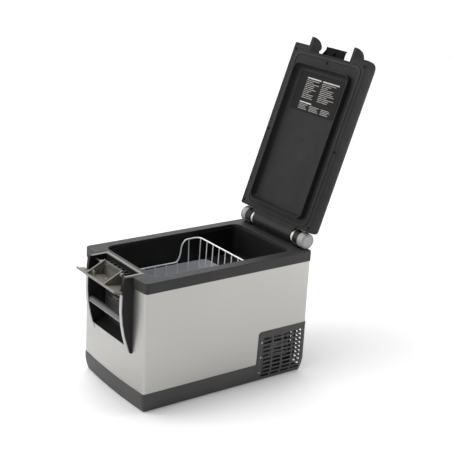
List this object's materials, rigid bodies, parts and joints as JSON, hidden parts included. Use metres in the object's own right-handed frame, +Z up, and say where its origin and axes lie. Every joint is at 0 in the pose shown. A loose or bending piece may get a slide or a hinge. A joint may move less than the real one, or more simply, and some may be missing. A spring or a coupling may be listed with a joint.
{
  "type": "compressor cooler fridge",
  "caption": "Portable compressor fridge with steel-wrapped body, hinged insulated lid on a rear barrel hinge, front latch lever, end carry handles, wire basket and vented machine space.",
  "frame": {"origin": "middle of the base's flat underside, on the floor", "axes": "+Z up, +X to the right seen from the latch end, -Y towards the latch end, +Y towards the hinge end"},
  "size_m": [0.38, 0.9336, 1.0869],
  "materials": {
    "dark_plastic": "satin",
    "black_plastic": "satin",
    "grey_trim": "satin",
    "latch_grey": "satin",
    "body_steel": "satin",
    "pin_steel": "satin",
    "cold_plate": "satin",
    "fin_aluminium": "satin",
    "coated_wire": "satin",
    "rubber": "matte",
    "foam": "matte",
    "painted_black": "satin",
    "copper": "satin",
    "window": "gloss",
    "lens": "satin",
    "nylon": "satin",
    "label": "satin"
  },
  "bodies": {
    "cabinet": {"vent_cover_right": "dark_plastic", "vent_cover_left": "dark_plastic", "base_tray": "dark_plastic", "foot_front_right": "rubber", "foot_front_left": "rubber", "foot_rear_right": "rubber", "foot_rear_left": "rubber", "steel_wrap": "body_steel", "top_rim": "dark_plastic", "inner_liner": "black_plastic", "cold_sleeve": "cold_plate", "insulation": "foam", "bay_bulkhead": "painted_black", "front_handle_housing": "black_plastic", "front_bezel": "grey_trim", "front_grip_bar": "grey_trim", "rear_handle_housing": "black_plastic", "rear_bezel": "grey_trim", "rear_grip_bar": "grey_trim", "control_panel": "dark_plastic", "display_window": "window", "latch_pin": "pin_steel", "hinge_knuckle_right": "black_plastic", "hinge_knuckle_left": "black_plastic", "hinge_cap_right": "grey_trim", "hinge_cap_left": "grey_trim", "hinge_pin": "pin_steel", "hinge_washer_right": "nylon", "hinge_washer_left": "nylon", "compressor_tray": "painted_black", "compressor": "painted_black", "compressor_control_module": "black_plastic", "condenser": "fin_aluminium", "fan_frame": "black_plastic", "filter_drier": "copper", "suction_pipe": "copper", "discharge_pipe": "copper", "mains_power_unit": "fin_aluminium", "rear_vent_panel": "dark_plastic", "low_voltage_inlet": "black_plastic", "mains_inlet": "black_plastic", "fuse_cap": "black_plastic", "interior_lamp": "lens"},
    "lid": {"lid_shell": "dark_plastic", "lid_liner": "black_plastic", "lid_seal": "rubber", "lid_insulation": "foam", "lid_label_plate": "label", "lid_catch": "black_plastic", "lid_hinge_barrel": "black_plastic"},
    "latch": {"latch_lever": "latch_grey"},
    "basket": {"wire_basket": "coated_wire"},
    "fan": {"fan_rotor": "black_plastic"},
    "power_button": {"button_power": "latch_grey"},
    "set_button": {"button_set": "latch_grey"},
    "down_button": {"button_down": "latch_grey"},
    "up_button": {"button_up": "latch_grey"}
  },
  "joints": [
    {"name": "lid_hinge", "type": "hinge", "parent": "cabinet", "child": "lid", "pos_m": [0, 0.313, 0.463], "axis": [-1, 0, 0], "range_deg": [-109.5, 0]},
    {"name": "latch_swing", "type": "hinge", "parent": "cabinet", "child": "latch", "pos_m": [0, -0.331, 0.424], "axis": [1, 0, 0], "range_deg": [-124, 0]},
    {"name": "basket_lift", "type": "slide", "parent": "cabinet", "child": "basket", "axis": [0, 0, 1], "range_m": [0, 0.4]},
    {"name": "fan_spin", "type": "hinge", "parent": "cabinet", "child": "fan", "pos_m": [0.0805, 0.245, 0.097], "axis": [1, 0, 0], "continuous": true},
    {"name": "power_press", "type": "slide", "parent": "cabinet", "child": "power_button", "axis": [0, 1, 0], "range_m": [0, 0.0015], "stiffness_N_per_m": 300, "springref_m": -0.001},
    {"name": "set_press", "type": "slide", "parent": "cabinet", "child": "set_button", "axis": [0, 1, 0], "range_m": [0, 0.0015], "stiffness_N_per_m": 300, "springref_m": -0.001},
    {"name": "down_press", "type": "slide", "parent": "cabinet", "child": "down_button", "axis": [0, 1, 0], "range_m": [0, 0.0015], "stiffness_N_per_m": 300, "springref_m": -0.001},
    {"name": "up_press", "type": "slide", "parent": "cabinet", "child": "up_button", "axis": [0, 1, 0], "range_m": [0, 0.0015], "stiffness_N_per_m": 300, "springref_m": -0.001}
  ]
}
